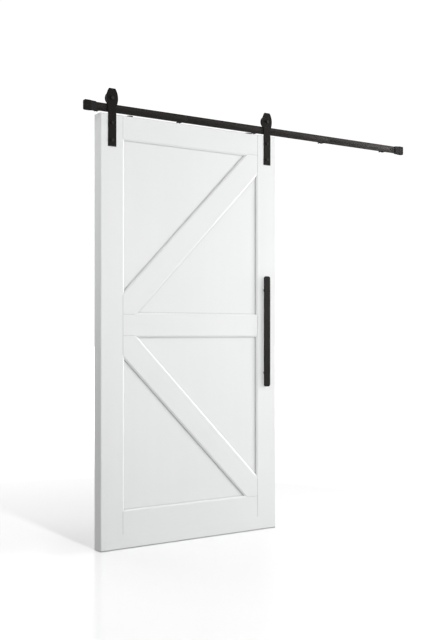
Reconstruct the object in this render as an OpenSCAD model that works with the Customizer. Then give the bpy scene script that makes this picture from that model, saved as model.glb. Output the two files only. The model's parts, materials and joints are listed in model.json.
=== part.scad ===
// Sliding barn door: a framed leaf with two diagonal braces, hung by two strap rollers
// from a flat wall track. The origin is on the wall, behind the middle of the track.

/* [Leaf] */
// Width of the door leaf
leaf_w = 1067; // [850:1:1300]
// Height of the door leaf
leaf_h = 2134; // [1750:1:2600]
// Thickness of the door leaf
leaf_t = 70; // [45:1:90]
// Radius of the leaf's outer edges
leaf_edge_r = 5; // [1:0.5:8]
// Face width of each stile
stile_w = 122; // [100:1:150]
// Face height of the top rail
top_rail_h = 112; // [92:1:150]
// Face height of the mid rail
mid_rail_h = 105; // [90:1:140]
// Face height of the bottom rail
bottom_rail_h = 183; // [120:1:230]
// Face width of each diagonal brace
brace_w = 112; // [80:1:140]
// Height of a brace's inner end above the mid rail
brace_foot = 14; // [0:1:24]
// Distance of a brace's outer end from the far rail
brace_drop = 14; // [0:1:24]
// Depth from the leaf's faces down to the panels
panel_recess = 9; // [5:0.5:12]
// Width of the bevel around each recess
bevel_w = 9; // [6:1:16]
// Depth of the bevel, below which the recess's edge drops square to the panel
bevel_d = 4; // [2:0.5:8]

/* [Leaf joints] */
// Half width of the fine groove along each joint line
joint_groove = 1.5; // [0.5:0.25:2.5]
// Gap between a panel's edge and the frame
panel_gap = 0.5; // [0.2:0.1:1.5]
// Reach of the panel's tongue into the frame
tongue_reach = 10; // [6:1:16]
// Thickness of the panel's tongue
tongue_t = 12; // [8:1:16]
// Clearance around the tongue in its groove
tongue_clear = 0.1; // [0.05:0.05:0.5]
// Radius of the dowels between rails and stiles
dowel_r = 6; // [4:0.5:8]
// Length of the dowels
dowel_l = 80; // [50:1:90]
// Radial clearance of a dowel in its hole
dowel_clear = 0.05; // [0.02:0.01:0.2]

/* [Track] */
// Length of the track
track_l = 2120; // [1800:1:3000]
// Height of the track's section
track_h = 40; // [30:1:50]
// Thickness of the track's section
track_t = 6; // [5:0.5:10]
// Track beyond the leaf's left edge when the leaf is closed
track_lead = 84; // [70:1:200]
// Gap between the leaf's top and the track
top_gap = 9; // [8:0.5:15]
// Gap between the leaf's back and the wall
wall_gap = 8; // [5:0.5:20]
// Number of wall fixings
fixing_count = 5; // [3:1:7]
// Distance between wall fixings
fixing_pitch = 480; // [300:1:600]
// Radius of the spacers between track and wall
spacer_r = 9; // [7:0.5:15]
// Radius of the wall screws' shanks
wall_screw_r = 4; // [3:0.5:5]
// Radius of the wall screws' threads
wall_thread_r = 3.7; // [2.5:0.1:4.5]
// Radius of the wall screws' heads
wall_head_r = 8.8; // [7:0.1:11]
// Length of the wall screws behind the wall's face
wall_screw_bite = 32; // [25:1:90]
// Radial clearance of screws and bolts in their holes
hole_clear = 0.25; // [0.1:0.05:1]

/* [End stops] */
// Length of a stop's body
stop_l = 34; // [26:1:60]
// Rise of a stop's body above and below the track
stop_rise = 5; // [4:0.5:7.5]
// Wall of a stop's body in front of and behind the track
stop_wall = 5; // [4:0.5:6]
// Thickness of a stop's end cap
stop_cap = 4; // [2:0.5:6]
// Radius of a stop's outer end, seen from the front
stop_end_r = 10; // [2:0.5:14]
// Radius of a stop's long edges
stop_edge_r = 3; // [1:0.5:4]
// Length of the rubber bumper
bumper_l = 32; // [15:1:40]
// Wall of the bumper around the track at its thin end
bumper_wall = 2; // [1.5:0.5:4]
// Clearance of stop and bumper around the track
stop_clear = 0.1; // [0.05:0.05:0.5]
// Radius of a stop's clamping screw
stop_screw_r = 3; // [2.5:0.5:4]

/* [Hangers] */
// Width of the strap
strap_w = 44; // [30:1:50]
// Thickness of the strap
strap_t = 5; // [4:0.5:8]
// Length of the strap on the leaf, below the leaf's top
strap_drop = 159; // [140:1:260]
// Width of the strap's head
head_w = 64; // [54:1:90]
// Half length of the leaf shape that the head is cut from
head_reach = 66; // [60:1:90]
// Height of the strap's top above the axle
head_rise = 48; // [40:1:55]
// Height of the lower strap bolt above the strap's end
strap_bolt_end = 30; // [20:1:40]
// Distance between the strap bolts
strap_bolt_pitch = 85; // [60:1:95]
// Radius of the strap bolts
strap_bolt_r = 4; // [3:0.5:5]
// Radius of the sleeve nuts' barrels
sleeve_r = 5.5; // [4.5:0.5:7]
// Length of the sleeve nuts' barrels
sleeve_l = 28; // [15:1:30]
// Radius of the flat flanges on the leaf's back
flange_nut_r = 11; // [8:0.5:14]
// Thickness of the flat flanges on the leaf's back
flange_nut_t = 2; // [1:0.5:3]

/* [Wheels] */
// Running radius of a wheel, at the bottom of its groove
tread_r = 27; // [24:0.5:40]
// Height of a wheel's flanges above the bottom of its groove
flange_h = 5; // [3:0.5:7]
// Width of a wheel
wheel_w = 14; // [12:0.5:20]
// Clearance of the wheel's groove beside the track
groove_clear = 0.5; // [0.2:0.1:1.5]
// Widening of the groove at the flanges' edge
groove_flare = 0.6; // [0:0.1:1]
// Gap between the tread and the track's top
tread_clear = 0.1; // [0.05:0.05:0.3]
// Gap between the strap's back and the wheel
wheel_gap = 2; // [1:0.5:5]
// Radius of the axle bolt
axle_r = 5; // [4:0.5:6]
// Outer radius of the wheel's bearing
bearing_r = 13; // [11:0.5:16]
// Width of the wheel's bearing
bearing_w = 8; // [6:0.5:9]
// Radius of the bearing's balls
ball_r = 2.3; // [1.5:0.1:3]
// Number of balls in a bearing
ball_count = 8; // [6:1:9]
// Running clearance inside the bearing and on the axle
bearing_clear = 0.05; // [0.02:0.01:0.1]

/* [Anti-jump discs] */
// Radius of a disc
disc_r = 17; // [12:0.5:20]
// Thickness of a disc
disc_t = 6; // [4:0.5:6.5]
// Distance of a disc's centre from the leaf's side edge
disc_inset = 172; // [165:1:260]
// Radius of a disc's screw
disc_screw_r = 2.4; // [2:0.1:3.5]
// Length of a disc's screw in the leaf
disc_screw_l = 32; // [20:1:40]

/* [Pull handle] */
// Length of the handle's bar
handle_l = 596; // [300:1:900]
// Width of the handle's bar
handle_w = 40; // [25:1:50]
// Thickness of the handle's bar
handle_t = 6; // [4:0.5:10]
// Radius of the bar's corners
handle_corner_r = 12; // [2:0.5:12.5]
// Finger gap behind the bar
handle_gap = 20; // [18:1:45]
// Distance of the handle's centre line from the leaf's right edge
handle_inset = 76; // [50:1:110]
// Height of the handle's middle above the leaf's middle
handle_rise = 5; // [-150:1:150]
// Distance of each post's centre from the bar's end
post_end = 75; // [30:1:120]
// Radius of the handle's posts
post_r = 8; // [6:0.5:12]
// Radius of the bolts into the posts
handle_bolt_r = 3; // [2.5:0.5:4]
// Reach of the bolts into the posts
handle_bolt_reach = 13; // [8:1:16]

/* [Hidden] */

$fn = 48;
hex = 6;
eps = 0.01;

white_paint = "white";
black_coat = "dimgray";
bare_steel = "silver";
bare_wood = "burlywood";
rubber = "black";

// The leaf's own frame: X from its left edge, Y from its front face to its back, Z from its foot.
// Openings between the frame's faces, for the upper panel; the lower one mirrors it.
opening_h = (leaf_h - top_rail_h - mid_rail_h - bottom_rail_h) / 2;
mid_z = bottom_rail_h + opening_h;
mid_centre = mid_z + mid_rail_h / 2;
x0 = stile_w;
x1 = leaf_w - stile_w;
z0 = mid_z + mid_rail_h;
z1 = leaf_h - top_rail_h;

// The upper brace's centre line runs from just above the opening's lower left corner to just
// under its upper right one. Its edges lie half a brace width to each side.
brace_z = z0 + brace_foot;
brace_run = [x1 - x0, z1 - brace_drop - brace_z];
brace_dir = brace_run / norm(brace_run);
brace_half_rise = brace_w / 2 / brace_dir[0];
brace_slope = brace_dir[1] / brace_dir[0];
outer_z = brace_z + brace_half_rise;
outer_x = x0 + (z1 - outer_z) / brace_slope;
inner_x = x0 + (z0 - brace_z + brace_half_rise) / brace_slope;
inner_z = brace_z - brace_half_rise + (x1 - x0) * brace_slope;

// Recess outlines, as [x, z] points taken clockwise from the front
outer_recess = [[x0, outer_z], [x0, z1], [outer_x, z1]];
inner_recess = [[inner_x, z0], [x1, inner_z], [x1, z0]];
back_recess = [[x0, z0], [x0, z1], [x1, z1], [x1, z0]];

// Joint lines of the upper half that show on the front, as pairs of [x, z] points
upper_joints = [
    [[x0, mid_centre], [x0, outer_z]], [[x0, z1], [x0, leaf_h]],
    [[x1, mid_centre], [x1, z0]], [[x1, inner_z], [x1, leaf_h]],
    [[x0, z0], [inner_x, z0]], [[outer_x, z1], [x1, z1]]
];
back_joints = [
    for (x = [x0, x1]) each [
        [[x, 0], [x, bottom_rail_h]], [[x, mid_z], [x, z0]], [[x, z1], [x, leaf_h]]
    ]
];

hanger_xs = [stile_w / 2, leaf_w - stile_w / 2];
flange_r = tread_r + flange_h;
wheel_y = wheel_gap + wheel_w / 2;
track_y = wheel_y - track_t / 2;
track_z = leaf_h + top_gap;
axle_z = track_z + track_h + tread_r + tread_clear;
spacer_l = leaf_t + wall_gap - track_y - track_t;

// The leaf's place in the part's frame
leaf_at = [track_lead - track_l / 2, -leaf_t - wall_gap, -leaf_h - top_gap - track_h / 2];

strap_foot_z = leaf_h - strap_drop;
strap_bolt_zs = [strap_foot_z + strap_bolt_end, strap_foot_z + strap_bolt_end + strap_bolt_pitch];
strap_bolt_l = strap_t + leaf_t - 8;
hex_head_r = 1.9;
hex_head_t = 1.3;
socket_r = 0.55;
socket_depth = 0.45;

pitch_r = (bearing_r + axle_r) / 2;
bush_r = pitch_r - ball_r / 2;
bush_front_l = wheel_y - bearing_w / 2;
bush_back_l = wheel_w / 2 - bearing_w / 2 + 1.5;
axle_nut_t = 9;
axle_bolt_l = strap_t + bush_front_l + bearing_w + bush_back_l + axle_nut_t + 2;

stop_h = track_h + 2 * stop_rise;
stop_t = track_t + 2 * stop_wall;
stop_slot_l = stop_l - stop_cap;

disc_xs = [disc_inset, leaf_w - disc_inset];
disc_y = wheel_y + disc_r - 4;

handle_x = leaf_w - handle_inset;
handle_z = leaf_h / 2 + handle_rise;
post_zs = [handle_z - handle_l / 2 + post_end, handle_z + handle_l / 2 - post_end];

dowel_hole_l = dowel_l / 2 + 1;
dowel_zs = [
    for (rail = [[0, bottom_rail_h], [mid_z, mid_rail_h], [z1, top_rail_h]])
        for (share = [0.25, 0.75]) rail[0] + rail[1] * share
];

function turn_right(v) = [v[1], -v[0]];
function edge_dir(outline, i) =
    let (step = outline[(i + 1) % len(outline)] - outline[i]) step / norm(step);
function edge_inward(outline, i) = turn_right(edge_dir(outline, i));
// The corner of an outline moved inward by the bevel's width from both its edges
function inset_corner(outline, i) =
    let (
        a = edge_inward(outline, (i + len(outline) - 1) % len(outline)),
        b = edge_inward(outline, i)
    ) outline[i] + bevel_w * (a + b) / (1 + a * b);

module in_leaf() {
    translate(leaf_at) children();
}

module upper_and_lower() {
    children();
    translate([0, 0, 2 * mid_centre]) mirror([0, 0, 1]) children();
}

module lower_only() {
    translate([0, 0, 2 * mid_centre]) mirror([0, 0, 1]) children();
}

module on_back() {
    translate([0, leaf_t, 0]) mirror([0, 1, 0]) children();
}

module at_hangers() {
    for (x = hanger_xs) translate([x, 0, 0]) children();
}

// Draws a flat [x, z] outline from y to y + depth
module plate(y, depth) {
    translate([0, y + depth, 0]) rotate([90, 0, 0]) linear_extrude(depth) children();
}

// Cylinder or cone along +Y from y
module rod(y, l, r, r_end = -1, sides = 48) {
    translate([0, y, 0]) rotate([-90, 0, 0])
        cylinder(h = l, r1 = r, r2 = r_end < 0 ? r : r_end, $fn = sides);
}

module rounded_square(size, r) {
    translate([r, 0]) square([size[0] - 2 * r, size[1]]);
    translate([0, r]) square([size[0], size[1] - 2 * r]);
    for (x = [r, size[0] - r], y = [r, size[1] - r]) translate([x, y]) circle(r);
}

// Sweeps a [side, depth] outline along the line from a to b, side pointing to its right
module along(a, b) {
    dir = (b - a) / norm(b - a);
    right = turn_right(dir);
    multmatrix([
        [right[0], 0, dir[0], a[0]],
        [0, 1, 0, 0],
        [right[1], 0, dir[1], a[1]],
        [0, 0, 0, 1]
    ]) linear_extrude(norm(b - a)) children();
}

// The bevelled strip along one edge of a recess, mitred at both ends
module bevel_strip(outline, i) {
    a = outline[i];
    b = outline[(i + 1) % len(outline)];
    foot_a = inset_corner(outline, i);
    foot_b = inset_corner(outline, (i + 1) % len(outline));
    polyhedron(
        points = [
            [a[0], 0, a[1]], [b[0], 0, b[1]],
            [a[0], panel_recess, a[1]], [b[0], panel_recess, b[1]],
            [foot_a[0], panel_recess, foot_a[1]], [foot_b[0], panel_recess, foot_b[1]],
            [foot_a[0], bevel_d, foot_a[1]], [foot_b[0], bevel_d, foot_b[1]]
        ],
        faces = [
            [0, 2, 3, 1], [2, 4, 5, 3], [0, 1, 7], [0, 7, 6], [6, 7, 5], [6, 5, 4],
            [0, 6, 4], [0, 4, 2], [1, 3, 5], [1, 5, 7]
        ]
    );
}

module joint_grooves(joints) {
    for (joint = joints) along(joint[0], joint[1])
        polygon([
            [-joint_groove, 0], [0, joint_groove], [joint_groove, 0], [0, -joint_groove]
        ]);
}

module all_joint_grooves() {
    upper_and_lower() joint_grooves(upper_joints);
    on_back() joint_grooves(back_joints);
}

// The leaf's block with its outer edges rounded
module leaf_envelope() {
    intersection() {
        linear_extrude(leaf_h) rounded_square([leaf_w, leaf_t], leaf_edge_r);
        rotate([90, 0, 90]) linear_extrude(leaf_w) rounded_square([leaf_t, leaf_h], leaf_edge_r);
    }
}

// One frame member: a block of the leaf, less the joints' grooves
module member(x, z, w, h) {
    difference() {
        intersection() {
            leaf_envelope();
            translate([x, 0, z]) cube([w, leaf_t, h]);
        }
        all_joint_grooves();
        tongue_grooves();
        dowel_holes();
    }
}

module panel_tongue(clear) {
    reach = tongue_reach + (clear > 0 ? 1 : 0);
    translate([x0 - reach, leaf_t / 2 - tongue_t / 2 - clear, z0 - reach])
        cube([x1 - x0 + 2 * reach, tongue_t + 2 * clear, z1 - z0 + 2 * reach]);
}

module tongue_grooves() {
    upper_and_lower() panel_tongue(tongue_clear);
}

module dowel_holes() {
    for (x = [x0, x1], z = dowel_zs)
        translate([x - dowel_hole_l, leaf_t / 2, z]) rotate([0, 90, 0])
            cylinder(h = 2 * dowel_hole_l, r = dowel_r + dowel_clear);
}

module strap_bolt_holes(x) {
    for (z = strap_bolt_zs) translate([x, 0, z]) {
        rod(-eps, leaf_t, strap_bolt_r + hole_clear);
        rod(leaf_t - sleeve_l - 1, sleeve_l + 2, sleeve_r + hole_clear);
    }
}

module left_stile() {
    color(white_paint) in_leaf() difference() {
        union() {
            member(0, 0, stile_w, leaf_h);
            upper_and_lower() bevel_strip(outer_recess, 0);
            on_back() upper_and_lower() bevel_strip(back_recess, 0);
        }
        strap_bolt_holes(hanger_xs[0]);
    }
}

module right_stile() {
    color(white_paint) in_leaf() difference() {
        union() {
            member(x1, 0, stile_w, leaf_h);
            upper_and_lower() bevel_strip(inner_recess, 1);
            on_back() upper_and_lower() bevel_strip(back_recess, 2);
        }
        strap_bolt_holes(hanger_xs[1]);
        for (z = post_zs) translate([handle_x, 0, z])
            rod(-1, leaf_t + 2, handle_bolt_r + hole_clear);
    }
}

module top_rail() {
    color(white_paint) in_leaf() difference() {
        union() {
            member(x0, z1, x1 - x0, top_rail_h);
            bevel_strip(outer_recess, 1);
            on_back() bevel_strip(back_recess, 1);
        }
        for (x = disc_xs) translate([x, disc_y, leaf_h - disc_screw_l])
            cylinder(h = disc_screw_l + 1, r = disc_screw_r);
    }
}

module mid_rail() {
    color(white_paint) in_leaf() {
        member(x0, mid_z, x1 - x0, mid_rail_h);
        upper_and_lower() bevel_strip(inner_recess, 2);
        on_back() upper_and_lower() bevel_strip(back_recess, 3);
    }
}

module bottom_rail() {
    color(white_paint) in_leaf() {
        member(x0, 0, x1 - x0, bottom_rail_h);
        lower_only() bevel_strip(outer_recess, 1);
        on_back() lower_only() bevel_strip(back_recess, 1);
    }
}

// A flat panel with a tongue on all four edges
module panel() {
    translate([x0 + panel_gap, panel_recess, z0 + panel_gap])
        cube([x1 - x0 - 2 * panel_gap, leaf_t - 2 * panel_recess, z1 - z0 - 2 * panel_gap]);
    panel_tongue(0);
}

module upper_panel() {
    color(white_paint) in_leaf() panel();
}

module lower_panel() {
    color(white_paint) in_leaf() lower_only() panel();
}

module brace() {
    difference() {
        plate(0, panel_recess) polygon([
            [x0, z0], outer_recess[0], outer_recess[2], [x1, z1], inner_recess[1], inner_recess[0]
        ]);
        joint_grooves(upper_joints);
    }
    bevel_strip(outer_recess, 2);
    bevel_strip(inner_recess, 0);
}

module upper_brace() {
    color(white_paint) in_leaf() brace();
}

module lower_brace() {
    color(white_paint) in_leaf() lower_only() brace();
}

module joint_dowels() {
    color(bare_wood) in_leaf() for (x = [x0, x1], z = dowel_zs)
        translate([x - dowel_l / 2, leaf_t / 2, z]) rotate([0, 90, 0])
            cylinder(h = dowel_l, r = dowel_r);
}

// Flat bar with a leaf-shaped head, cut off flat at the top
module strap_outline() {
    lens_r = (pow(head_reach, 2) + pow(head_w / 2, 2)) / head_w;
    lens_x = lens_r - head_w / 2;
    translate([-strap_w / 2, strap_foot_z]) square([strap_w, axle_z - strap_foot_z]);
    translate([0, axle_z]) intersection() {
        translate([lens_x, 0]) circle(lens_r, $fn = 96);
        translate([-lens_x, 0]) circle(lens_r, $fn = 96);
        translate([-head_w / 2, -head_reach]) square([head_w, head_reach + head_rise]);
    }
}

module strap() {
    difference() {
        plate(-strap_t, strap_t) strap_outline();
        for (z = strap_bolt_zs) translate([0, 0, z])
            rod(-strap_t - 1, strap_t + 2, strap_bolt_r + hole_clear);
        translate([0, 0, axle_z]) rod(-strap_t - 1, strap_t + 2, axle_r + hole_clear);
    }
}

module left_strap() {
    color(black_coat) in_leaf() translate([hanger_xs[0], 0, 0]) strap();
}

module right_strap() {
    color(black_coat) in_leaf() translate([hanger_xs[1], 0, 0]) strap();
}

// Hex-headed bolt through the strap, its shank running back from y
module hex_bolt(y, r, l) {
    rod(y - r * hex_head_t, r * hex_head_t, r * hex_head_r, sides = hex);
    rod(y - eps, l + eps, r);
}

module strap_bolts() {
    color(black_coat) in_leaf() at_hangers() for (z = strap_bolt_zs)
        translate([0, 0, z]) hex_bolt(-strap_t, strap_bolt_r, strap_bolt_l);
}

module sleeve_nuts() {
    color(black_coat) in_leaf() at_hangers() for (z = strap_bolt_zs) translate([0, 0, z])
        difference() {
            union() {
                rod(leaf_t - sleeve_l, sleeve_l + eps, sleeve_r);
                rod(leaf_t, flange_nut_t, flange_nut_r);
            }
            rod(leaf_t - sleeve_l - 1, sleeve_l - 4, strap_bolt_r + bearing_clear);
        }
}

module axle_bolts() {
    color(black_coat) in_leaf() at_hangers() translate([0, 0, axle_z])
        hex_bolt(-strap_t, axle_r, axle_bolt_l);
}

module bush(y, l) {
    difference() {
        rod(y, l, bush_r);
        rod(y - 1, l + 2, axle_r + bearing_clear);
    }
}

module axle_bushes() {
    color(bare_steel) in_leaf() at_hangers() translate([0, 0, axle_z]) {
        bush(0, bush_front_l);
        bush(bush_front_l + bearing_w, bush_back_l);
    }
}

module axle_nuts() {
    color(black_coat) in_leaf() at_hangers() translate([0, 0, axle_z]) difference() {
        rod(bush_front_l + bearing_w + bush_back_l, axle_nut_t, axle_r * hex_head_r, sides = hex);
        rod(0, leaf_t, axle_r + bearing_clear);
    }
}

// Round section turned about the axle, given as [radius, place along the axle]
module turned(at) {
    translate([at, wheel_y, axle_z]) rotate([-90, 0, 0]) rotate_extrude() children();
}

module ball_groove() {
    translate([pitch_r, 0]) circle(ball_r + bearing_clear);
}

module bearing_inner_rings() {
    color(bare_steel) in_leaf() for (x = hanger_xs) turned(x) difference() {
        translate([axle_r + bearing_clear, -bearing_w / 2])
            square([bush_r - axle_r - bearing_clear, bearing_w]);
        ball_groove();
    }
}

module bearing_outer_ring(x) {
    outer_bore_r = 2 * pitch_r - bush_r;
    color(bare_steel) in_leaf() turned(x) difference() {
        translate([outer_bore_r, -bearing_w / 2]) square([bearing_r - outer_bore_r, bearing_w]);
        ball_groove();
    }
}

module bearing_balls(x) {
    color(bare_steel) in_leaf() translate([x, wheel_y, axle_z]) for (i = [0:ball_count - 1])
        rotate([0, i * 360 / ball_count, 0]) translate([pitch_r, 0, 0]) sphere(ball_r);
}

// Grooved wheel with a lip that holds the bearing at the front
module wheel(x) {
    half = wheel_w / 2;
    groove = track_t / 2 + groove_clear;
    seat_r = bearing_r + bearing_clear / 2;
    lip_r = bearing_r - 1.5;
    rim = 1.2;
    color(black_coat) in_leaf() turned(x) polygon([
        [lip_r, -half], [flange_r - rim, -half], [flange_r, -half + rim],
        [flange_r, -groove - groove_flare], [tread_r, -groove],
        [tread_r, groove], [flange_r, groove + groove_flare],
        [flange_r, half - rim], [flange_r - rim, half], [seat_r, half],
        [seat_r, -bearing_w / 2], [lip_r, -bearing_w / 2]
    ]);
}

module left_wheel() {
    wheel(hanger_xs[0]);
}

module left_bearing_outer_ring() {
    bearing_outer_ring(hanger_xs[0]);
}

module left_bearing_balls() {
    bearing_balls(hanger_xs[0]);
}

module right_wheel() {
    wheel(hanger_xs[1]);
}

module right_bearing_outer_ring() {
    bearing_outer_ring(hanger_xs[1]);
}

module right_bearing_balls() {
    bearing_balls(hanger_xs[1]);
}

// Discs on the leaf's top edge that reach under the track
module anti_jump_discs() {
    color(black_coat) in_leaf() for (x = disc_xs) translate([x, disc_y, leaf_h]) difference() {
        cylinder(h = disc_t, r = disc_r);
        translate([0, 0, -1]) cylinder(h = disc_t + 2, r = disc_screw_r + hole_clear);
    }
}

module disc_screws() {
    head_t = 2.5;
    color(black_coat) in_leaf() for (x = disc_xs) translate([x, disc_y, leaf_h]) {
        translate([0, 0, 1 - disc_screw_l]) cylinder(h = disc_screw_l + disc_t, r = disc_screw_r);
        translate([0, 0, disc_t]) cylinder(h = head_t, r = 2 * disc_screw_r);
    }
}

// Flat bar on two round posts, tapped from the back
module pull_handle() {
    color(black_coat) in_leaf() translate([handle_x, 0, 0]) difference() {
        union() {
            plate(-handle_gap - handle_t, handle_t)
                translate([-handle_w / 2, handle_z - handle_l / 2])
                    rounded_square([handle_w, handle_l], handle_corner_r);
            for (z = post_zs) translate([0, 0, z]) rod(-handle_gap - eps, handle_gap + eps, post_r);
        }
        for (z = post_zs) translate([0, 0, z])
            rod(-handle_bolt_reach - 1, handle_bolt_reach + 2, handle_bolt_r + bearing_clear);
    }
}

module handle_bolts() {
    color(black_coat) in_leaf() for (z = post_zs) translate([handle_x, 0, z]) {
        rod(-handle_bolt_reach, handle_bolt_reach + leaf_t + eps, handle_bolt_r);
        rod(leaf_t, flange_nut_t, 3 * handle_bolt_r);
    }
}

module at_fixings() {
    for (i = [0:fixing_count - 1])
        translate([(i - (fixing_count - 1) / 2) * fixing_pitch, 0, 0]) children();
}

// The part's own frame holds the track: its back is spacer_l in front of the wall
module track_bar() {
    sink_depth = wall_head_r - wall_screw_r;
    color(black_coat) difference() {
        translate([-track_l / 2, -spacer_l - track_t, -track_h / 2]) cube([track_l, track_t, track_h]);
        at_fixings() translate([0, -spacer_l - track_t, 0]) {
            rod(-1, track_t + 2, wall_screw_r + hole_clear);
            rod(-eps, sink_depth + hole_clear, wall_head_r + hole_clear, wall_screw_r);
        }
    }
}

module track_spacers() {
    color(black_coat) at_fixings() difference() {
        rod(-spacer_l, spacer_l, spacer_r);
        rod(-spacer_l - 1, spacer_l + 2, wall_screw_r + hole_clear);
    }
}

// Countersunk screws with a hex socket, plain where the thread would be
module wall_screws() {
    head_l = wall_head_r - wall_screw_r;
    tip_l = 2 * wall_thread_r;
    color(black_coat) at_fixings() translate([0, -spacer_l - track_t, 0]) difference() {
        union() {
            rod(0, head_l, wall_head_r, wall_screw_r);
            rod(0, track_t + spacer_l, wall_screw_r);
            rod(track_t + spacer_l - eps, wall_screw_bite - tip_l + eps, wall_thread_r);
            rod(track_t + spacer_l + wall_screw_bite - tip_l, tip_l, wall_thread_r, 0.3);
        }
        rod(-eps, wall_screw_r * 2 * socket_depth, wall_head_r * socket_r, sides = hex);
    }
}

// Draws the left end's stop parts, or mirrors them for the right end
module at_end(right) {
    mirror([right ? 1 : 0, 0, 0])
        translate([-track_l / 2 - stop_cap, -spacer_l - track_t / 2, 0]) children();
}

module track_slot(x, l) {
    translate([x, -track_t / 2 - stop_clear, -track_h / 2 - stop_clear])
        cube([l, track_t + 2 * stop_clear, track_h + 2 * stop_clear]);
}

// Flat outline from x = 0 to l, its two corners at x = 0 rounded
module nose(l, w, r) {
    translate([r, -w / 2]) square([l - r, w]);
    translate([0, r - w / 2]) square([l, w - 2 * r]);
    for (y = [r - w / 2, w / 2 - r]) translate([r, y]) circle(r);
}

// Cap over the track's end, rounded at its outer end and along its edges
module stop_body() {
    difference() {
        intersection() {
            plate(-stop_t / 2, stop_t) nose(stop_l, stop_h, stop_end_r);
            linear_extrude(stop_h, center = true) nose(stop_l, stop_t, stop_edge_r);
            translate([0, -stop_t / 2, -stop_h / 2]) rotate([90, 0, 90])
                linear_extrude(stop_l) rounded_square([stop_t, stop_h], stop_edge_r);
        }
        track_slot(stop_cap, stop_l);
        translate([stop_cap + stop_slot_l / 2, 0, 0])
            rod(-stop_t / 2 - 1, stop_t / 2, stop_screw_r + bearing_clear);
    }
}

module left_stop() {
    color(black_coat) at_end(false) stop_body();
}

module right_stop() {
    color(black_coat) at_end(true) stop_body();
}

// Rubber collar that narrows from the stop to the track
module bumper() {
    thin_half = track_h / 2 + bumper_wall;
    thick_half = stop_h / 2 - 1;
    bumper_t = stop_t - 2;
    difference() {
        plate(-bumper_t / 2, bumper_t) polygon([
            [stop_l, -thick_half], [stop_l + bumper_l, -thin_half],
            [stop_l + bumper_l, thin_half], [stop_l, thick_half]
        ]);
        track_slot(stop_l - 1, bumper_l + 2);
    }
}

module left_bumper() {
    color(rubber) at_end(false) bumper();
}

module right_bumper() {
    color(rubber) at_end(true) bumper();
}

// Set screws that clamp the stops to the track's front face
module stop_screws() {
    screw_l = stop_wall;
    color(black_coat) for (right = [false, true]) at_end(right)
        translate([stop_cap + stop_slot_l / 2, -track_t / 2 - screw_l, 0]) difference() {
            rod(0, screw_l, stop_screw_r);
            rod(-eps, stop_screw_r, stop_screw_r * socket_r, sides = hex);
        }
}

left_stile();
right_stile();
top_rail();
mid_rail();
bottom_rail();
upper_panel();
lower_panel();
upper_brace();
lower_brace();
joint_dowels();
left_strap();
right_strap();
strap_bolts();
sleeve_nuts();
axle_bolts();
axle_bushes();
axle_nuts();
bearing_inner_rings();
anti_jump_discs();
disc_screws();
pull_handle();
handle_bolts();
left_wheel();
left_bearing_outer_ring();
left_bearing_balls();
right_wheel();
right_bearing_outer_ring();
right_bearing_balls();
track_bar();
track_spacers();
wall_screws();
left_stop();
right_stop();
left_bumper();
right_bumper();
stop_screws();
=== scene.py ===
import json
import math
import bmesh
import bpy
from mathutils import Matrix, Vector


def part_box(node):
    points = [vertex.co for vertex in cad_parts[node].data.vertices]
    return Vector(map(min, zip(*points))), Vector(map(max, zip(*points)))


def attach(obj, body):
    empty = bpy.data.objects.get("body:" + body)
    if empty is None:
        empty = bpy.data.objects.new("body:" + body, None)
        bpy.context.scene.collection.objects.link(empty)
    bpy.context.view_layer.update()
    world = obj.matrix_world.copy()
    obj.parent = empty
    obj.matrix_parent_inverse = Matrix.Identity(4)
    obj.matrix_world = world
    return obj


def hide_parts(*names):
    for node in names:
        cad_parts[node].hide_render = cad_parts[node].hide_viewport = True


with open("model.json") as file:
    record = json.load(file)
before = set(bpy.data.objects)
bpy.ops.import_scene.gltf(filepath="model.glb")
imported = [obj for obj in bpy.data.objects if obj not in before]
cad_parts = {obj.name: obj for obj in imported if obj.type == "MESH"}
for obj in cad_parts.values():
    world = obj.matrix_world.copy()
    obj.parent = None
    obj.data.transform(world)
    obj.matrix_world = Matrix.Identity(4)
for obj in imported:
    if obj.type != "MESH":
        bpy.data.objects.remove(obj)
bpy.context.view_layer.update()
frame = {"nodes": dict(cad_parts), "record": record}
nodes = frame["nodes"]
record = frame["record"]
bodyOf = {name: body for body, names in record["behaviour"]["bodies"].items() for name in names}
finishOf = {part["node"]: part["material_slot"] for part in record["subparts"]}
white = (1, 1, 1, 1)
quarterTurn = math.radians(90)
print("frame loaded:", len(nodes), "CAD nodes")


# Shader helpers: a keyword that names a node's own setting sets it, any other fills an input
def addNode(tree, kind, **values):
    node = tree.nodes.new("ShaderNode" + kind)
    for key, value in values.items():
        if key in node.bl_rna.properties:
            setattr(node, key, value)
    for key, value in values.items():
        if key not in node.bl_rna.properties:
            node.inputs[key.replace("_", " ")].default_value = value
    return node


def link(tree, source, target):
    tree.links.new(source, target)


def mathStep(tree, operation, first, second):
    node = addNode(tree, "Math", operation=operation)
    for place, value in enumerate((first, second)):
        if isinstance(value, (int, float)):
            node.inputs[place].default_value = value
        else:
            link(tree, value, node.inputs[place])
    return node.outputs[0]


def spread(tree, value, low, high, start=0.3, end=0.7):
    node = addNode(tree, "MapRange", From_Min=start, From_Max=end, To_Min=low, To_Max=high)
    link(tree, value, node.inputs["Value"])
    return node.outputs[0]


# A Mix node keeps its colour sockets behind those of its other kinds
mixColour = {"first": 6, "second": 7, "result": 2}


def blendColours(tree, amount, first, second):
    node = addNode(tree, "Mix", data_type="RGBA")
    link(tree, amount, node.inputs[0])
    for place, colour in ((mixColour["first"], first), (mixColour["second"], second)):
        if isinstance(colour, tuple):
            node.inputs[place].default_value = colour
        else:
            link(tree, colour, node.inputs[place])
    return node.outputs[mixColour["result"]]


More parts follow.
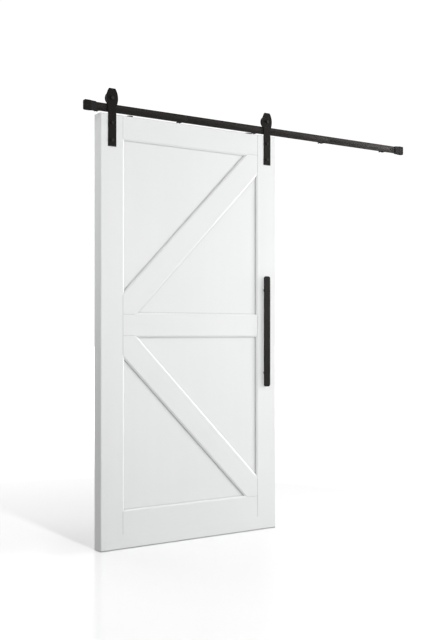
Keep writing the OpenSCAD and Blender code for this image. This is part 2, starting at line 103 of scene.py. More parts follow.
def newGroup(name, inputs, outputs):
    group = bpy.data.node_groups.new(name, "ShaderNodeTree")
    group.interface.new_socket("Vector", in_out="INPUT", socket_type="NodeSocketVector")
    for label in inputs:
        group.interface.new_socket(label, in_out="INPUT", socket_type="NodeSocketFloat")
    for label in outputs:
        group.interface.new_socket(label, in_out="OUTPUT", socket_type="NodeSocketFloat")
    entry = group.nodes.new("NodeGroupInput")
    leave = group.nodes.new("NodeGroupOutput")
    return group, entry.outputs, leave.inputs


def useGroup(tree, group, vector, **values):
    node = addNode(tree, "Group", node_tree=group)
    link(tree, vector, node.inputs["Vector"])
    for label, value in values.items():
        node.inputs[label].default_value = value
    return node.outputs


def mixShaders(tree, amount, first, second):
    node = addNode(tree, "MixShader")
    for place, source in enumerate((amount, first, second)):
        link(tree, source, node.inputs[place])
    return node.outputs[0]


def newMaterial(name, **values):
    material = bpy.data.materials.new(name)
    material.use_nodes = True
    tree = material.node_tree
    tree.nodes.clear()
    shader = addNode(tree, "BsdfPrincipled", **values)
    output = addNode(tree, "OutputMaterial")
    link(tree, shader.outputs[0], output.inputs["Surface"])
    place = addNode(tree, "TexCoord").outputs["Object"]
    return material, tree, shader, place


def addBump(tree, shader, height, strength, distance):
    bump = addNode(tree, "Bump", Strength=strength, Distance=distance)
    link(tree, height, bump.inputs["Height"])
    link(tree, bump.outputs[0], shader.inputs["Normal"])


# Brushed film over timber: long grain that shows through, orange peel, slow drifts of tone
filmLook = {
    "stretch": (1, 1, 0.04),
    "grain": {"Scale": 170, "Detail": 5, "Roughness": 0.62},
    "broad": {"Scale": 26, "Detail": 3, "Roughness": 0.5, "Distortion": 0.4},
    "peel": {"Scale": 520, "Detail": 2, "Roughness": 0.5},
    "drift": {"Scale": 2.3, "Detail": 3, "Roughness": 0.55},
}
filmGroup, filmIn, filmOut = newGroup(
    "filmOverGrain", ["Grain", "Peel"], ["Height", "Tone", "Drift"])
stretched = addNode(filmGroup, "VectorMath", operation="MULTIPLY")
stretched.inputs[1].default_value = filmLook["stretch"]
link(filmGroup, filmIn["Vector"], stretched.inputs[0])
grain = addNode(filmGroup, "TexNoise", **filmLook["grain"])
broad = addNode(filmGroup, "TexNoise", **filmLook["broad"])
for texture in (grain, broad):
    link(filmGroup, stretched.outputs[0], texture.inputs["Vector"])
peel = addNode(filmGroup, "TexNoise", **filmLook["peel"])
drift = addNode(filmGroup, "TexNoise", **filmLook["drift"])
for texture in (peel, drift):
    link(filmGroup, filmIn["Vector"], texture.inputs["Vector"])
grainHeight = mathStep(filmGroup, "MULTIPLY", grain.outputs[0], filmIn["Grain"])
peelHeight = mathStep(filmGroup, "MULTIPLY", peel.outputs[0], filmIn["Peel"])
link(filmGroup, mathStep(filmGroup, "ADD", grainHeight, peelHeight), filmOut["Height"])
link(filmGroup, spread(filmGroup, broad.outputs[0], 0, 1), filmOut["Tone"])
link(filmGroup, spread(filmGroup, drift.outputs[0], 0, 1), filmOut["Drift"])

# Fine pebble of a powder coat or a moulded skin, with cloudy patches
pebbleLook = {
    "pebble": {"feature": "SMOOTH_F1", "Smoothness": 0.6},
    "patches": {"Detail": 4, "Roughness": 0.6},
}
pebbleGroup, pebbleIn, pebbleOut = newGroup("pebble", ["Scale", "Patch"], ["Height", "Patches"])
pebble = addNode(pebbleGroup, "TexVoronoi", **pebbleLook["pebble"])
patches = addNode(pebbleGroup, "TexNoise", **pebbleLook["patches"])
for texture, label in ((pebble, "Scale"), (patches, "Patch")):
    link(pebbleGroup, pebbleIn["Vector"], texture.inputs["Vector"])
    link(pebbleGroup, pebbleIn[label], texture.inputs["Scale"])
link(pebbleGroup, pebble.outputs["Distance"], pebbleOut["Height"])
link(pebbleGroup, spread(pebbleGroup, patches.outputs[0], 0, 1), pebbleOut["Patches"])

# Rubbed arrises: the rounded edges of a piece carry the face attribute edgeWear
wearLook = {"chips": {"Detail": 5, "Roughness": 0.7}, "chipped": (0.42, 0.6)}
wearGroup, wearIn, wearOut = newGroup("edgeWear", ["Scale", "Amount"], ["Mask"])
arris = addNode(wearGroup, "Attribute", attribute_name="edgeWear")
chips = addNode(wearGroup, "TexNoise", **wearLook["chips"])
link(wearGroup, wearIn["Vector"], chips.inputs["Vector"])
link(wearGroup, wearIn["Scale"], chips.inputs["Scale"])
chipped = spread(wearGroup, chips.outputs[0], 0, 1, *wearLook["chipped"])
rubbed = mathStep(wearGroup, "MULTIPLY", arris.outputs["Fac"], chipped)
link(wearGroup, mathStep(wearGroup, "MULTIPLY", rubbed, wearIn["Amount"]), wearOut["Mask"])

# Turning marks round an axle: rings about Y, repeated at each hanger
ringLook = {"wave_type": "RINGS", "rings_direction": "Y", "Distortion": 0.6, "Detail": 2}
turningGroup, turningIn, turningOut = newGroup("turningMarks", ["Pitch", "Scale"], ["Height"])
axes = addNode(turningGroup, "SeparateXYZ")
link(turningGroup, turningIn["Vector"], axes.inputs[0])
halfPitch = mathStep(turningGroup, "MULTIPLY", turningIn["Pitch"], 0.5)
wrapped = addNode(turningGroup, "Math", operation="WRAP")
link(turningGroup, axes.outputs[0], wrapped.inputs[0])
link(turningGroup, halfPitch, wrapped.inputs[1])
link(turningGroup, mathStep(turningGroup, "MULTIPLY", halfPitch, -1), wrapped.inputs[2])
joined = addNode(turningGroup, "CombineXYZ")
for place, value in enumerate((wrapped.outputs[0], axes.outputs[1], axes.outputs[2])):
    link(turningGroup, value, joined.inputs[place])
rings = addNode(turningGroup, "TexWave", **ringLook)
link(turningGroup, joined.outputs[0], rings.inputs["Vector"])
link(turningGroup, turningIn["Scale"], rings.inputs["Scale"])
link(turningGroup, rings.outputs["Fac"], turningOut["Height"])
print("shader groups made")

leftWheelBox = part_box("left_wheel")
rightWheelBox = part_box("right_wheel")
axle = (Vector(leftWheelBox[0]) + Vector(leftWheelBox[1])) / 2
hangerPitch = rightWheelBox[0][0] - leftWheelBox[0][0]

# Satin white film; the last few millimetres of a recess turn to a grey, a painted shade that
# stands in for the shadow there
whitePaint = {
    "light": (0.862, 0.874, 0.868, 1), "shade": (0.842, 0.855, 0.85, 1), "toneShare": 0.4,
    "driftShare": 0.6, "roughness": (0.36, 0.47), "specular": 0.35, "bump": 0.22,
    "depth": 0.0002, "grain": 0.55, "peel": 0.4, "recessShade": (0.56, 0.575, 0.57, 1),
    "reach": 0.009, "openness": (0.45, 0.98), "samples": 8,
}


def paintedWood(name, turn):
    material, tree, shader, place = newMaterial(name, Specular_IOR_Level=whitePaint["specular"])
    lie = addNode(tree, "Mapping", Rotation=(0, turn, 0))
    link(tree, place, lie.inputs[0])
    film = useGroup(tree, filmGroup, lie.outputs[0],
                    Grain=whitePaint["grain"], Peel=whitePaint["peel"])
    tone = mathStep(tree, "ADD", mathStep(tree, "MULTIPLY", film["Tone"], whitePaint["toneShare"]),
                    mathStep(tree, "MULTIPLY", film["Drift"], whitePaint["driftShare"]))
    coat = blendColours(tree, tone, whitePaint["shade"], whitePaint["light"])
    # Painted shade: where ambient occlusion finds a recess or joint, the paint is blended to a
    # darker grey
    recess = addNode(tree, "AmbientOcclusion", samples=whitePaint["samples"],
                     Distance=whitePaint["reach"])
    openness = spread(tree, recess.outputs["AO"], 0, 1, *whitePaint["openness"])
    colour = blendColours(tree, openness, whitePaint["recessShade"], coat)
    link(tree, colour, shader.inputs["Base Color"])
    rough = spread(tree, film["Drift"], *whitePaint["roughness"], 0, 1)
    link(tree, rough, shader.inputs["Roughness"])
    addBump(tree, shader, film["Height"], whitePaint["bump"], whitePaint["depth"])
    return material


# Black coats; each look adds its own values to the pattern that they share
coatPattern = {"patch": 14, "wearScale": 70, "wornShine": 0.1}
powderCoat = {
    **coatPattern,
    "dark": (0.0052, 0.0042, 0.0036, 1), "light": (0.0078, 0.0065, 0.0057, 1),
    "worn": (0.03, 0.027, 0.025, 1), "roughness": (0.5, 0.62), "specular": 0.17,
    "tint": (1, 0.91, 0.86, 1), "pebble": 950, "bump": 0.3, "depth": 0.0002, "wear": 0.5,
}
railCoat = {
    **powderCoat,
    "dark": (0.0022, 0.0017, 0.0014, 1), "light": (0.0038, 0.003, 0.0026, 1),
    "roughness": (0.41, 0.5), "specular": 0.27,
}
blackOxide = {
    **coatPattern,
    "dark": (0.011, 0.0105, 0.01, 1), "light": (0.019, 0.018, 0.0175, 1),
    "worn": (0.06, 0.057, 0.054, 1), "roughness": (0.4, 0.52), "specular": 0.3,
    "tint": (1, 0.95, 0.9, 1), "pebble": 2400, "bump": 0.12, "depth": 0.0001, "wear": 0.7,
}
bumperRubber = {
    **coatPattern,
    "dark": (0.006, 0.006, 0.006, 1), "light": (0.012, 0.0118, 0.0115, 1),
    "worn": (0.022, 0.022, 0.021, 1), "roughness": (0.62, 0.78), "specular": 0.3,
    "tint": white, "pebble": 1500, "bump": 0.35, "depth": 0.0002, "wear": 0.8,
}


def coatedMetal(name, look):
    material, tree, shader, place = newMaterial(
        name, Specular_IOR_Level=look["specular"], Specular_Tint=look["tint"])
    skin = useGroup(tree, pebbleGroup, place, Scale=look["pebble"], Patch=look["patch"])
    wear = useGroup(tree, wearGroup, place, Scale=look["wearScale"], Amount=look["wear"])["Mask"]
    coat = blendColours(tree, skin["Patches"], look["dark"], look["light"])
    link(tree, blendColours(tree, wear, coat, look["worn"]), shader.inputs["Base Color"])
    rough = spread(tree, skin["Patches"], *look["roughness"], 0, 1)
    shine = mathStep(tree, "MULTIPLY", wear, look["wornShine"])
    link(tree, mathStep(tree, "SUBTRACT", rough, shine), shader.inputs["Roughness"])
    addBump(tree, shader, skin["Height"], look["bump"], look["depth"])
    return material


# Turned parts, whose marks run round the axles
turnedPattern = {"pebble": 1800, "patch": 90, "wearScale": 120}
bearingSteel = {
    **turnedPattern,
    "dark": (0.5, 0.5, 0.505, 1), "light": (0.62, 0.62, 0.625, 1), "worn": (0.72, 0.72, 0.72, 1),
    "metallic": 1.0, "specular": 0.5, "roughness": (0.2, 0.32), "rings": 700, "wear": 0.5,
    "bump": 0.15, "depth": 0.0001,
}
wheelNylon = {
    **turnedPattern,
    "dark": (0.007, 0.007, 0.0072, 1), "light": (0.012, 0.012, 0.0122, 1),
    "worn": (0.03, 0.03, 0.03, 1), "metallic": 0.0, "specular": 0.4, "roughness": (0.36, 0.48),
    "rings": 420, "wear": 0.4, "bump": 0.2, "depth": 0.0002,
}


def turnedSurface(name, look):
    material, tree, shader, place = newMaterial(
        name, Specular_IOR_Level=look["specular"], Metallic=look["metallic"])
    centred = addNode(tree, "Mapping", Location=tuple(-axle))
    link(tree, place, centred.inputs[0])
    marks = useGroup(tree, turningGroup, centred.outputs[0],
                     Pitch=hangerPitch, Scale=look["rings"])["Height"]
    skin = useGroup(tree, pebbleGroup, place, Scale=look["pebble"], Patch=look["patch"])
    wear = useGroup(tree, wearGroup, place, Scale=look["wearScale"], Amount=look["wear"])["Mask"]
    body = blendColours(tree, skin["Patches"], look["dark"], look["light"])
    link(tree, blendColours(tree, wear, body, look["worn"]), shader.inputs["Base Color"])
    rough = spread(tree, skin["Patches"], *look["roughness"], 0, 1)
    link(tree, rough, shader.inputs["Roughness"])
    addBump(tree, shader, marks, look["bump"], look["depth"])
    return material


bareWood = {
    "dark": (0.5, 0.31, 0.15, 1), "light": (0.66, 0.46, 0.26, 1), "roughness": (0.5, 0.68),
    "grain": 0.8, "peel": 0.1, "bump": 0.4, "depth": 0.0003,
}


def bareTimber(name, look):
    material, tree, shader, place = newMaterial(name)
    lie = addNode(tree, "Mapping", Rotation=(0, quarterTurn, 0))
    link(tree, place, lie.inputs[0])
    film = useGroup(tree, filmGroup, lie.outputs[0], Grain=look["grain"], Peel=look["peel"])
    colour = blendColours(tree, film["Tone"], look["dark"], look["light"])
    link(tree, colour, shader.inputs["Base Color"])
    rough = spread(tree, film["Drift"], *look["roughness"], 0, 1)
    link(tree, rough, shader.inputs["Roughness"])
    addBump(tree, shader, film["Height"], look["bump"], look["depth"])
    return material


# The grain of each member runs along it, and the braces' along their diagonals
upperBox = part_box("upper_brace")
braceTurn = math.atan2(upperBox[1][0] - upperBox[0][0], upperBox[1][2] - upperBox[0][2])
grainTurn = {
    "left_stile": 0, "right_stile": 0, "upper_panel": 0, "lower_panel": 0,
    "top_rail": quarterTurn, "mid_rail": quarterTurn, "bottom_rail": quarterTurn,
    "upper_brace": -braceTurn, "lower_brace": braceTurn,
}
paints = {turn: paintedWood(f"whitePaint{i}", turn)
          for i, turn in enumerate(sorted(set(grainTurn.values())))}
looks = {
    "bare_wood": bareTimber("bareTimber", bareWood),
    "black_powder_coat": coatedMetal("powderCoat", powderCoat),
    "black_fasteners": coatedMetal("blackOxide", blackOxide),
    "bearing_steel": turnedSurface("bearingSteel", bearingSteel),
    "black_wheel": turnedSurface("wheelNylon", wheelNylon),
    "black_rubber": coatedMetal("bumperRubber", bumperRubber),
}
railLook = coatedMetal("railCoat", railCoat)
for name, piece in nodes.items():
    look = paints[grainTurn[name]] if name in grainTurn else looks[finishOf[name]]
    piece.data.materials.clear()
    piece.data.materials.append(look)
print("materials made:", len(paints) + len(looks) + 1)

# Angles in degrees: edges below "smooth" shade smooth, those above "sharp" are rounded
edgeRule = {
    "smooth": 14, "sharp": 30, "flat": 0.5, "weld": 0.000005, "segments": 3, "profile": 0.5,
}


def shadeBySlope(shape):
    limit = math.radians(edgeRule["smooth"])
    for face in shape.faces:
        face.smooth = True
    for edge in shape.edges:
        edge.smooth = len(edge.link_faces) == 2 and edge.calc_face_angle(0) < limit


def addObject(name, data):
    made = bpy.data.objects.new(name, data)
    bpy.context.scene.collection.objects.link(made)
    return made


def meshFrom(name, shape):
    mesh = bpy.data.meshes.new(name)
    shape.to_mesh(mesh)
    shape.free()
    return mesh


def addPiece(name, shape, replaced, look=None):
    shadeBySlope(shape)
    piece = addObject(name, meshFrom(name, shape))
    piece.data.materials.append(look or looks[finishOf[replaced]])
    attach(piece, bodyOf[replaced])
    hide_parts(replaced)


def weldedShape(name):
    shape = bmesh.new()
    shape.from_mesh(nodes[name].data)
    bmesh.ops.remove_doubles(shape, verts=shape.verts, dist=edgeRule["weld"])
    return shape


# The CAD shape with its flat faces whole again
def mergedShape(name):
    shape = weldedShape(name)
    bmesh.ops.dissolve_limit(shape, angle_limit=math.radians(edgeRule["flat"]),
                             verts=shape.verts, edges=shape.edges)
    return shape


# Rounds the outward edges and marks the new faces for wear
def roundEdges(shape, radius):
    wear = shape.faces.layers.float.new("edgeWear")
    sharp = math.radians(edgeRule["sharp"])
    outward = [edge for edge in shape.edges if len(edge.link_faces) == 2 and edge.is_convex
               and edge.calc_face_angle(0) > sharp]
    made = bmesh.ops.bevel(shape, geom=outward, offset=radius, offset_type="OFFSET",
                           segments=edgeRule["segments"], profile=edgeRule["profile"],
                           affect="EDGES", clamp_overlap=True, material=-1)
    for face in made["faces"]:
        face[wear] = 1


# Sawn, machined and moulded hardware: the CAD shape with its arrises broken
edgeRadius = {
    "track_bar": 0.0008, "left_strap": 0.0009, "right_strap": 0.0009, "pull_handle": 0.0012,
    "left_stop": 0.0006, "right_stop": 0.0006, "left_bumper": 0.0012, "right_bumper": 0.0012,
    "track_spacers": 0.0004, "anti_jump_discs": 0.0012, "left_wheel": 0.0003,
    "right_wheel": 0.0003, "axle_bushes": 0.0003, "left_bearing_outer_ring": 0.0003,
    "right_bearing_outer_ring": 0.0003, "bearing_inner_rings": 0.0002, "stop_screws": 0.0002,
}
for name, radius in edgeRadius.items():
    shape = mergedShape(name)
    roundEdges(shape, radius)
    addPiece(name + "_finished", shape, name, railLook if name == "track_bar" else None)
for name in ("left_bearing_balls", "right_bearing_balls"):
    addPiece(name + "_finished", mergedShape(name), name)
# The photo shows no shadow behind these
for name in ("pull_handle", "left_strap", "right_strap"):
    bpy.data.objects[name + "_finished"].visible_shadow = False
print("hardware rounded:", len(edgeRadius), "nodes")


# The low and high corner of each separate solid in a node
def solidBoxes(name):
    shape = weldedShape(name)
    left = set(shape.verts)
    boxes = []
    while left:
        found = [left.pop()]
        for vert in found:
            for edge in vert.link_edges:
                other = edge.other_vert(vert)
                if other in left:
                    left.discard(other)
                    found.append(other)
        low = Vector([min(v.co[k] for v in found) for k in range(3)])
        high = Vector([max(v.co[k] for v in found) for k in range(3)])
        boxes.append((low, high))
    shape.free()
    return boxes


# Pulls a rim of edges to a new height and radius and gives back the new rim
def pullRim(shape, rim, height, ratio):
    made = bmesh.ops.extrude_edge_only(shape, edges=rim)["geom"]
    verts = [part for part in made if isinstance(part, bmesh.types.BMVert)]
    bmesh.ops.scale(shape, vec=(ratio, ratio, 1), verts=verts)
    for vert in verts:
        vert.co.z = height
    moved = set(verts)
    return [part for part in made
            if isinstance(part, bmesh.types.BMEdge) and set(part.verts) <= moved]


# A ring of edges round Z
def addRim(shape, radius, height, segments, turn=0):
    before = set(shape.edges)
    made = bmesh.ops.create_circle(shape, cap_ends=False, segments=segments, radius=radius)
    verts = made["verts"]
    bmesh.ops.rotate(shape, verts=verts, cent=(0, 0, 0), matrix=Matrix.Rotation(turn, 3, "Z"))
    bmesh.ops.translate(shape, verts=verts, vec=(0, 0, height))
    return [edge for edge in shape.edges if edge not in before]


# A hexagon round Z, cut into as many edges as the circle that it is bridged to
def hexRim(shape, radius, height, sides):
    corners = 6
    before = set(shape.edges)
    edges = addRim(shape, radius, height, corners, math.pi / corners)
    bmesh.ops.subdivide_edges(shape, edges=edges, cuts=sides // corners - 1)
    return [edge for edge in shape.edges if edge not in before]


# Moves the corners of a hexagon off a level, onto the cone that turning leaves
def turnCorners(rim, level, crown, slope):
    for vert in {vert for edge in rim for vert in edge.verts}:
        vert.co.z = level - (vert.co.xy.length - crown) * slope


roundSides = 48


# A turned body along Z from its top rim down, given as (height, radius), flat or socketed on top
def turnedBody(shape, rims, socket=None, sides=roundSides):
    top, radius = rims[0]
    rim = addRim(shape, radius, top, sides)
    if socket:
        mouth = hexRim(shape, socket["radius"], top, sides)
        bmesh.ops.bridge_loops(shape, edges=rim + mouth)
        bottom = pullRim(shape, mouth, top - socket["depth"], 1)
        bmesh.ops.contextual_create(shape, geom=bottom)
    else:
        bmesh.ops.contextual_create(shape, geom=rim)
    for (_, oldRadius), (height, radius) in zip(rims, rims[1:]):
        rim = pullRim(shape, rim, height, radius / oldRadius)
    bmesh.ops.contextual_create(shape, geom=rim)


# A hexagon with the corners of its outer face turned off to a cone
hexTurning = {"crown": 0.84, "slope": math.tan(math.radians(32))}


def hexHead(shape, radius, top, foot):
    crown = radius * hexTurning["crown"]
    rim = addRim(shape, crown, top, roundSides)
    bmesh.ops.contextual_create(shape, geom=rim)
    flats = hexRim(shape, radius, top, roundSides)
    turnCorners(flats, top, crown, hexTurning["slope"])
    bmesh.ops.bridge_loops(shape, edges=rim + flats)
    bmesh.ops.contextual_create(shape, geom=pullRim(shape, flats, foot, 1))


# A helical ridge between two heights, its foot sunk into the core
ridgeLook = {"sunk": 0.0001, "profile": (0.1, 0.5, 0.9), "sides": 20}


def threadRidge(shape, crest, core, pitch, top, foot):
    sides = ridgeLook["sides"]
    steps = int((top - foot - pitch) / pitch * sides)
    root = core - ridgeLook["sunk"]
    verts = [shape.verts.new((radius, 0, top - pitch * drop))
             for radius, drop in zip((root, crest, root), ridgeLook["profile"])]
    edges = [shape.edges.new((verts[i], verts[(i + 1) % 3])) for i in range(3)]
    bmesh.ops.spin(shape, geom=verts + edges, cent=(0, 0, 0), axis=(0, 0, 1),
                   dvec=(0, 0, -pitch / sides), angle=steps / sides * math.tau,
                   steps=steps, use_merge=False)
    ends = [edge for edge in shape.edges if len(edge.link_faces) == 1]
    bmesh.ops.holes_fill(shape, edges=ends, sides=3)


# Where the top of a part built along Z faces, and where in its CAD box its foot stands
facing = {
    "front": (quarterTurn, ("middle", "high", "middle")),
    "back": (-quarterTurn, ("middle", "low", "middle")),
    "up": (0, ("middle", "middle", "low")),
}


def placePart(shape, whole, low, high, way):
    turn, foot = facing[way]
    corners = {"low": low, "middle": (low + high) / 2, "high": high}
    place = Vector([corners[corner][k] for k, corner in enumerate(foot)])
    bmesh.ops.recalc_face_normals(shape, faces=shape.faces)
    bmesh.ops.transform(shape, verts=shape.verts,
                        matrix=Matrix.Translation(place) @ Matrix.Rotation(turn, 4, "X"))
    part = meshFrom("part", shape)
    whole.from_mesh(part)
    bpy.data.meshes.remove(part)


# One finished piece for a node, each of its solids built along Z by the given function
def addFasteners(name, build, look, way):
    whole = bmesh.new()
    axis = 2 if way == "up" else 1
    for low, high in solidBoxes(name):
        shape = bmesh.new()
        build(shape, high[axis] - low[axis], (high.x - low.x) / 2, look)
        placePart(shape, whole, low, high, way)
    addPiece(name + "_finished", whole, name)


# Hex bolts through the straps, their heads in front on a round washer face
boltShape = {"washer": 0.0004, "washerShare": 0.85, "sunk": 0.0001, "tip": 0.001}
strapBolt = {**boltShape, "head": 0.0052, "shank": 0.004}
axleBolt = {**boltShape, "head": 0.0065, "shank": 0.005}


def hexBolt(shape, length, radius, bolt):
    seat = length - bolt["head"]
    shank = bolt["shank"]
    washerTop = seat + bolt["washer"]
    washer = radius * bolt["washerShare"]
    hexHead(shape, radius, length, washerTop)
    turnedBody(shape, [(washerTop, washer), (seat, washer)])
    turnedBody(shape, [(seat + bolt["sunk"], shank), (bolt["tip"], shank),
                       (0, shank - bolt["tip"])])


addFasteners("strap_bolts", hexBolt, strapBolt, "front")
addFasteners("axle_bolts", hexBolt, axleBolt, "front")

# Lock nuts behind the wheels: a hexagon with a plain collar round the bolt's end
nutLook = {
    "hexShare": 0.72, "collar": 0.82, "crown": 0.84, "slope": 0.6, "bore": 0.00505,
    "edge": 0.001, "mouth": 0.0004,
}


def lockNut(shape, thickness, radius, nut):
    hexTop = thickness * nut["hexShare"]
    crown = radius * nut["crown"]
    collar = radius * nut["collar"]
    bore, edge, mouth = nut["bore"], nut["edge"], nut["mouth"]
    outline = [(crown, hexTop), (collar, hexTop), (collar, thickness - edge),
               (collar - edge, thickness), (bore + mouth, thickness), (bore, thickness - mouth),
               (bore, 0), (crown, 0)]
    verts = [shape.verts.new((r, 0, z)) for r, z in outline]
    edges = [shape.edges.new(pair) for pair in zip(verts, verts[1:])]
    bmesh.ops.spin(shape, geom=verts + edges, cent=(0, 0, 0), axis=(0, 0, 1), angle=math.tau,
                   steps=roundSides, use_merge=True)
    inner = [edge for edge in shape.edges
             if edge.is_boundary and edge.verts[0].co.z < hexTop / 2]
    flats = hexRim(shape, radius, 0, roundSides)
    turnCorners(flats, 0, crown, -nut["slope"])
    bmesh.ops.bridge_loops(shape, edges=inner + flats)
    flats = pullRim(shape, flats, hexTop, 1)
    turnCorners(flats, hexTop, crown, nut["slope"])
    outer = [edge for edge in shape.edges if edge.is_boundary and edge not in flats]
    bmesh.ops.bridge_loops(shape, edges=outer + flats)


addFasteners("axle_nuts", lockNut, nutLook, "back")

# Sleeve nuts and handle bolts show flat round heads with a hex socket on the leaf's back
backHead = {"flange": 0.002, "edge": 0.0005, "socketDepth": 0.0016, "bore": None}
sleeveNut = {**backHead, "barrel": 0.0055, "bore": 0.00405, "boreFoot": 0.005, "socket": 0.003}
handleBolt = {**backHead, "barrel": 0.003, "socket": 0.0025}


def backFastener(shape, length, radius, look):
    edge, barrel, bore = look["edge"], look["barrel"], look["bore"]
    under = length - look["flange"]
    rims = [(length, radius - edge), (length - edge, radius), (under, radius), (under, barrel),
            (edge, barrel), (0, barrel - edge)]
    if bore:
        rims += [(0, bore), (length - look["boreFoot"] - look["flange"], bore)]
    turnedBody(shape, rims, {"radius": look["socket"], "depth": look["socketDepth"]})


addFasteners("sleeve_nuts", backFastener, sleeveNut, "back")
addFasteners("handle_bolts", backFastener, handleBolt, "back")

# Screws of the anti-jump discs, seen from above
discLook = {
    "head": 0.0025, "crown": 0.8, "edge": 0.0007, "shank": 0.0024, "point": 0.003,
    "tip": 0.0004, "socket": {"radius": 0.002, "depth": 0.0014}, "sides": 36,
}


def discScrew(shape, length, radius, screw):
    under = length - screw["head"]
    rims = [(length, radius * screw["crown"]), (length - screw["edge"], radius), (under, radius),
            (under, screw["shank"]), (screw["point"], screw["shank"]), (0, screw["tip"])]
    turnedBody(shape, rims, screw["socket"], screw["sides"])


addFasteners("disc_screws", discScrew, discLook, "up")

# Countersunk wall screws: flush heads in the track, threads behind the wall's face
wallLook = {
    "shank": 0.004, "core": 0.0028, "crest": 0.0037, "pitch": 0.0022, "point": 0.0074,
    "tip": 0.0003, "edge": 0.0002, "socket": {"radius": 0.0045, "depth": 0.0034},
    "wall": solidBoxes("wall_screws")[0][1].y,
}


def wallScrew(shape, length, radius, screw):
    shank, core, edge, wall = screw["shank"], screw["core"], screw["edge"], screw["wall"]
    threadRidge(shape, screw["crest"], core, screw["pitch"], wall, screw["point"])
    rims = [(length, radius - edge), (length - edge, radius), (length - radius + shank, shank),
            (wall, shank), (wall, core), (screw["point"], core), (0, screw["tip"])]
    turnedBody(shape, rims, screw["socket"])


addFasteners("wall_screws", wallScrew, wallLook, "front")
print("bolts, nuts and screws made")

# A glossy white floor that runs into the background; it throws back less light than it shows,
# and away from the leaf its glow rises to white
floorLook = {
    "size": 60, "gap": 0.0006, "colour": (0.9, 0.9, 0.9, 1), "roughness": 0.16,
    "specular": 0.35, "glow": (0.055, 1.1), "reach": (2.3, 7), "bounce": (0.22, 0.22, 0.22, 1),
}
leafCorner = Vector(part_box("left_stile")[0])
floorLevel = leafCorner.z - floorLook["gap"]
shape = bmesh.new()
bmesh.ops.create_grid(shape, x_segments=1, y_segments=1, size=floorLook["size"])
bmesh.ops.translate(shape, verts=shape.verts, vec=(0, 0, floorLevel))
floorPiece = addObject("floor", meshFrom("floor", shape))
material, tree, shader, place = newMaterial(
    "floorWhite", Base_Color=floorLook["colour"], Roughness=floorLook["roughness"],
    Specular_IOR_Level=floorLook["specular"], Emission_Color=white)
output = shader.outputs[0].links[0].to_node
away = addNode(tree, "VectorMath", operation="DISTANCE")
away.inputs[1].default_value = (leafCorner.x, leafCorner.y, floorLevel)
link(tree, place, away.inputs[0])
glow = spread(tree, away.outputs["Value"], *floorLook["glow"], *floorLook["reach"])
link(tree, glow, shader.inputs["Emission Strength"])
dim = addNode(tree, "BsdfDiffuse", Color=floorLook["bounce"])
path = addNode(tree, "LightPath").outputs
shown = mixShaders(tree, path["Is Camera Ray"], dim.outputs[0], shader.outputs[0])
link(tree, shown, output.inputs["Surface"])
floorPiece.data.materials.append(material)

# The room: white where it is seen, lit mostly from its walls, and mirrored dimmer in front
room = {
    "seen": 1.05, "mirror": (0.22, 1.03), "behind": (0, 0.3), "above": (0.12, 0.12, 0.12, 1),
    "level": (1.42, 1.42, 1.42, 1), "rise": (-0.3, 0.8),
}
world = bpy.data.worlds.new("studio")
bpy.context.scene.world = world
world.use_nodes = True
tree = world.node_tree
tree.nodes.clear()
direction = addNode(tree, "TexCoord")
axes = addNode(tree, "SeparateXYZ")
link(tree, direction.outputs["Generated"], axes.inputs[0])
rise = spread(tree, axes.outputs[2], 0, 1, *room["rise"])
lit = addNode(tree, "Background", Strength=1)
link(tree, blendColours(tree, rise, room["level"], room["above"]), lit.inputs["Color"])
seen = addNode(tree, "Background", Color=white, Strength=room["seen"])
mirrored = addNode(tree, "Background", Color=white)
strength = spread(tree, axes.outputs[1], *room["mirror"], *room["behind"])
link(tree, strength, mirrored.inputs["Strength"])
path = addNode(tree, "LightPath").outputs
unseen = mixShaders(tree, path["Is Glossy Ray"], lit.outputs[0], mirrored.outputs[0])
surround = mixShaders(tree, path["Is Camera Ray"], unseen, seen.outputs[0])
link(tree, surround, addNode(tree, "OutputWorld").inputs["Surface"])

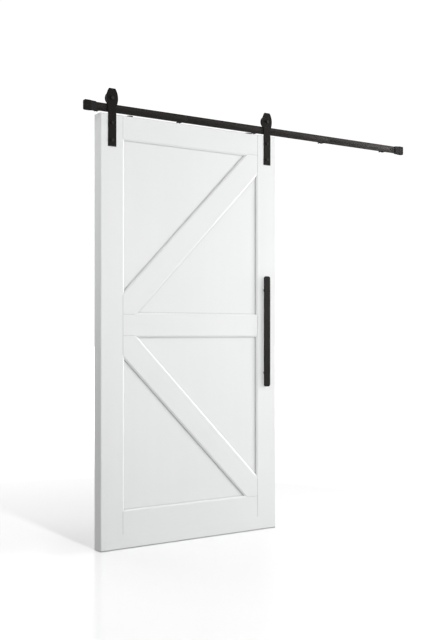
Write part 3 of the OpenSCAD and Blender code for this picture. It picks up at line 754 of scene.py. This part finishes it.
# Large soft boxes: the key rakes in from the right, the next four lift the front, the left edge
# and the back, and the last lights only the floor and lays the leaf's shadow straight back
softBoxes = {
    "keyBox": {
        "place": (4.6, -2.34, -0.36), "aim": (0, 0, -1.0), "size": (2.5, 2.5), "power": 204},
    "frontBox": {
        "place": (0.4, -4.4, -0.9), "aim": (-0.1, 0, -1.1), "size": (2.2, 1.6), "power": 42.5},
    "highBox": {
        "place": (0.8, -4.2, 0.6), "aim": (-0.3, 0, -1.0), "size": (2.6, 2.6), "power": 14.5},
    "leftBox": {
        "place": (-3.0, -0.9, 0.3), "aim": (-0.9, 0, -0.5), "size": (1.6, 1.6), "power": 16},
    "backBox": {
        "place": (-0.6, 3.8, 0.4), "aim": (-0.4, 0, -1.1), "size": (2.6, 2.6), "power": 60},
    "floorBox": {
        "place": (-1.0, -3.2, 4.1), "aim": (-1.0, 0.4, -2.16), "size": (0.22, 3.6), "power": 142},
}
for name, box in softBoxes.items():
    data = bpy.data.lights.new(name, "AREA")
    data.shape = "RECTANGLE"
    data.size, data.size_y = box["size"]
    data.energy = box["power"]
    lamp = addObject(name, data)
    lamp.location = box["place"]
    towards = Vector(box["aim"]) - Vector(box["place"])
    lamp.rotation_euler = towards.to_track_quat("-Z", "Y").to_euler()

floorOnly = bpy.data.collections.new("floorOnly")
floorOnly.objects.link(floorPiece)
bpy.data.objects["floorBox"].light_linking.receiver_collection = floorOnly

# The camera stands level, off the foot of the leaf's left edge
cameraLook = {
    "offset": (-2.106, -4.129, 1.066), "heading": -33.8, "lens": 53.4, "sensor": 36,
    "shiftY": 0.0195, "reach": 200,
}
data = bpy.data.cameras.new("camera")
data.lens = cameraLook["lens"]
data.sensor_width = cameraLook["sensor"]
data.shift_y = cameraLook["shiftY"]
data.clip_end = cameraLook["reach"]
camera = addObject("camera", data)
camera.location = leafCorner + Vector(cameraLook["offset"])
camera.rotation_euler = (quarterTurn, 0, math.radians(cameraLook["heading"]))
bpy.context.scene.camera = camera
bpy.context.scene.view_settings.view_transform = "Standard"
print("floor, light and camera placed")
